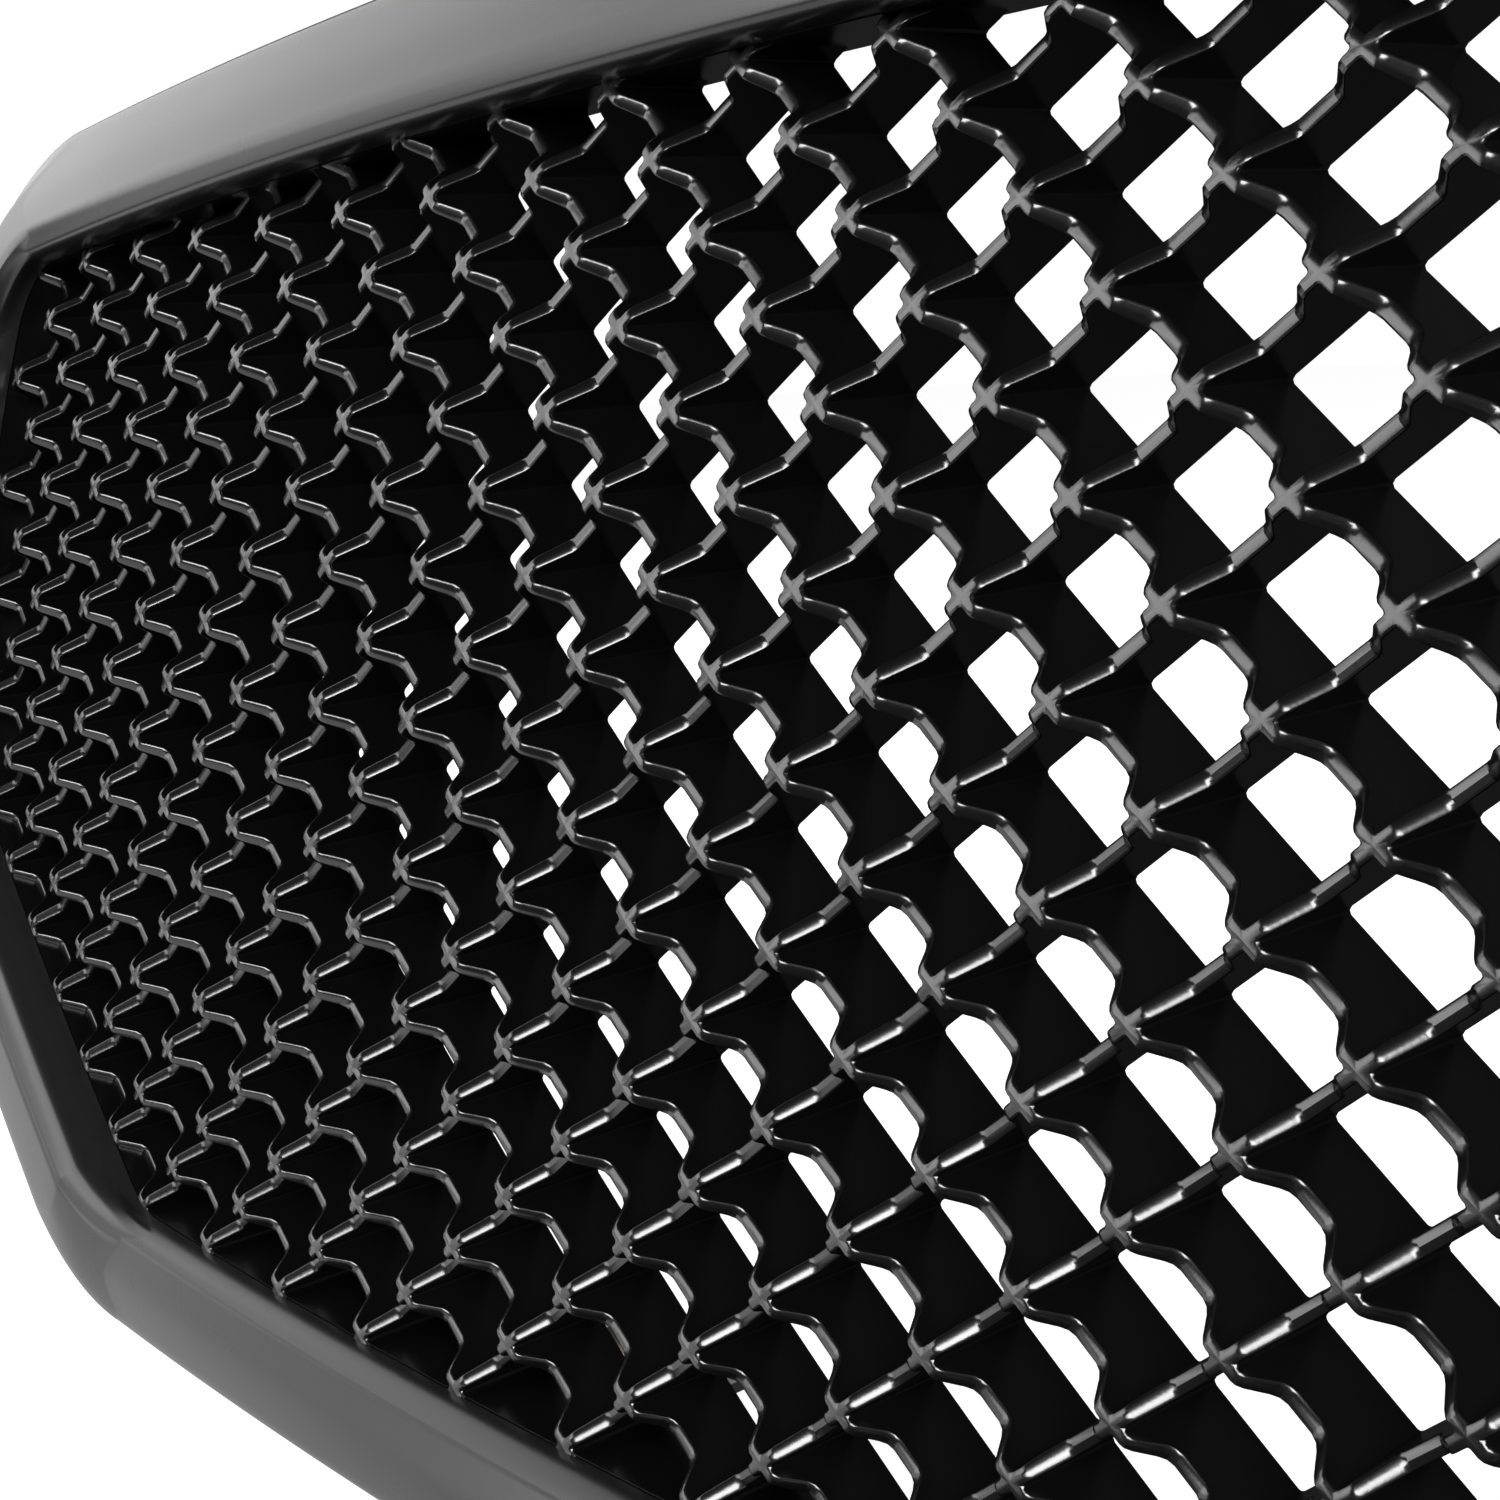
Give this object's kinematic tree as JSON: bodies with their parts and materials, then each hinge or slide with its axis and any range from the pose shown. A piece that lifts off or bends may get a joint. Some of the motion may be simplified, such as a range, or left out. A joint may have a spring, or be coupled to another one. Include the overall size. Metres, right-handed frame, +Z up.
{
  "type": "car front grille",
  "caption": "Front grille for a car: a bowed, deep-ribbed diamond mesh in a broad surround, with upper support, push-pin retainers and lower brackets.",
  "frame": {"origin": "midway between the two lower bolts, on the underside of the lower brackets", "axes": "+X across the car, to the right seen from in front; +Y to the rear of the car, so the grille faces -Y; +Z up"},
  "size_m": [0.7944, 0.1365, 0.24],
  "materials": {
    "surround_plastic": "satin moulded, dark grey-black",
    "mesh_plastic": "satin moulded, black",
    "screw_zinc": "zinc plated",
    "support_plastic": "matt moulded, black",
    "seal_rubber": "matt foam rubber",
    "retainer_nylon": "satin nylon, black",
    "pin_nylon": "satin nylon, dark grey",
    "bracket_steel": "black e-coat",
    "nut_steel": "yellow-grey phosphate",
    "felt": "pressed felt, dark grey"
  },
  "bodies": {
    "grille": {"surround": "surround_plastic", "mesh_insert": "mesh_plastic", "insert_screws": "screw_zinc", "support_screws": "screw_zinc", "bracket_screws": "screw_zinc", "side_screws": "screw_zinc", "upper_support": "support_plastic", "seal_strip": "seal_rubber", "push_body_1": "retainer_nylon", "push_body_2": "retainer_nylon", "push_body_3": "retainer_nylon", "push_body_4": "retainer_nylon", "lower_bracket_l": "bracket_steel", "lower_bracket_r": "bracket_steel", "spring_nut_l": "nut_steel", "spring_nut_r": "nut_steel", "side_bracket_l": "support_plastic", "side_bracket_r": "support_plastic", "felt_pads": "felt"},
    "pin_1": {"push_pin_1": "pin_nylon"},
    "pin_2": {"push_pin_2": "pin_nylon"},
    "pin_3": {"push_pin_3": "pin_nylon"},
    "pin_4": {"push_pin_4": "pin_nylon"}
  },
  "joints": [
    {"name": "pin_1_slide", "type": "slide", "parent": "grille", "child": "pin_1", "axis": [0, 0, 1], "range_m": [0, 0.006]},
    {"name": "pin_2_slide", "type": "slide", "parent": "grille", "child": "pin_2", "axis": [0, 0, 1], "range_m": [0, 0.006]},
    {"name": "pin_3_slide", "type": "slide", "parent": "grille", "child": "pin_3", "axis": [0, 0, 1], "range_m": [0, 0.006]},
    {"name": "pin_4_slide", "type": "slide", "parent": "grille", "child": "pin_4", "axis": [0, 0, 1], "range_m": [0, 0.006]}
  ]
}
